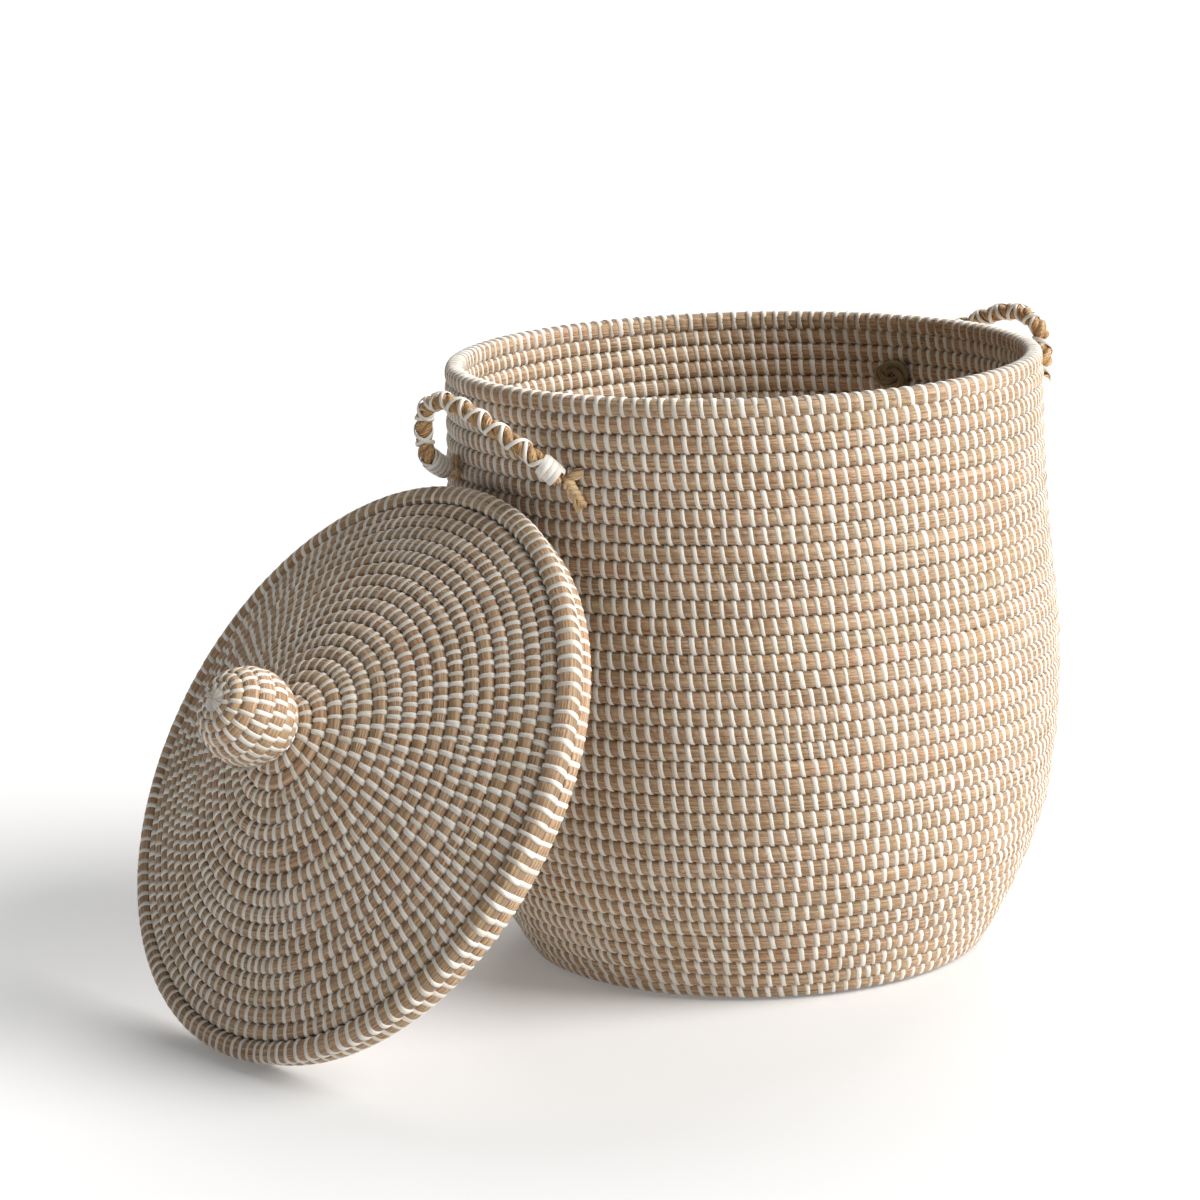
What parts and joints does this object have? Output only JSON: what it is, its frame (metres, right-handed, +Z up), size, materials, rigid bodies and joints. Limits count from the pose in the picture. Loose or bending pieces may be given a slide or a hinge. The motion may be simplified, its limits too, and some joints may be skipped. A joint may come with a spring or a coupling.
{
  "type": "woven laundry basket",
  "caption": "Belly-shaped coiled basket with two rope handles and a loose conical lid with a ball knob; the lid is off, leaning on the wall.",
  "frame": {"origin": "middle of the flat underside of the base, on the floor", "axes": "+Z up along the basket's axis; X through the two rope handles; the lid leans on the -X side; Y makes a right-handed frame"},
  "size_m": [0.7373, 0.4725, 0.4627],
  "materials": {
    "rush_coil": "matt dried rush bundles sewn with flat white strip",
    "rope": "twisted golden-brown rope, slightly waxy",
    "white_strip": "satin flat white strip",
    "loose_strands": "pale frayed fibre",
    "jute_knot": "rough brown-green jute"
  },
  "bodies": {
    "basket": {"base_disc": "rush_coil", "lower_wall": "rush_coil", "middle_wall": "rush_coil", "upper_wall": "rush_coil", "rim_course": "rush_coil", "left_front_tails": "loose_strands", "left_front_knot": "jute_knot", "left_rear_tails": "loose_strands", "left_rear_knot": "jute_knot", "right_front_tails": "loose_strands", "right_front_knot": "jute_knot", "right_rear_tails": "loose_strands", "right_rear_knot": "jute_knot"},
    "knob_core": {"knob_core": "rush_coil"},
    "lid": {"lid_rim": "rush_coil", "lid_skirt": "rush_coil", "lid_cone": "rush_coil", "lid_collar": "rush_coil", "knob_shell": "rush_coil", "knob_tip": "white_strip"},
    "left_handle": {"left_handle_rope": "rope", "left_handle_cross_wrap": "white_strip", "left_handle_front_binding": "white_strip", "left_handle_rear_binding": "white_strip"},
    "right_handle": {"right_handle_rope": "rope", "right_handle_cross_wrap": "white_strip", "right_handle_front_binding": "white_strip", "right_handle_rear_binding": "white_strip"}
  },
  "joints": [
    {"name": "lid_carry", "type": "hinge", "parent": "basket", "child": "knob_core", "pos_m": [-0.3416, 0.01508, 0.5715], "axis": [0.0441, 0.999, 0], "range_deg": [0, 253.22]},
    {"name": "lid_turn", "type": "hinge", "parent": "knob_core", "child": "lid", "pos_m": [-0.44022, 0.01944, 0.24413], "axis": [0.0195, 0.9997, 0.0112], "range_deg": [-195.47, 0]},
    {"name": "left_handle_swing", "type": "hinge", "parent": "basket", "child": "left_handle", "pos_m": [-0.22304, 0, 0.38694], "axis": [0.0163, 0.9985, -0.0531], "range_deg": [-12, 18]},
    {"name": "right_handle_swing", "type": "hinge", "parent": "basket", "child": "right_handle", "pos_m": [0.22304, 0, 0.39994], "axis": [-0.0163, -0.9985, -0.0531], "range_deg": [-35, 18]}
  ],
  "couplings": [
    {"joint": "lid_turn", "follows": "lid_carry", "ratio": -0.77192}
  ]
}
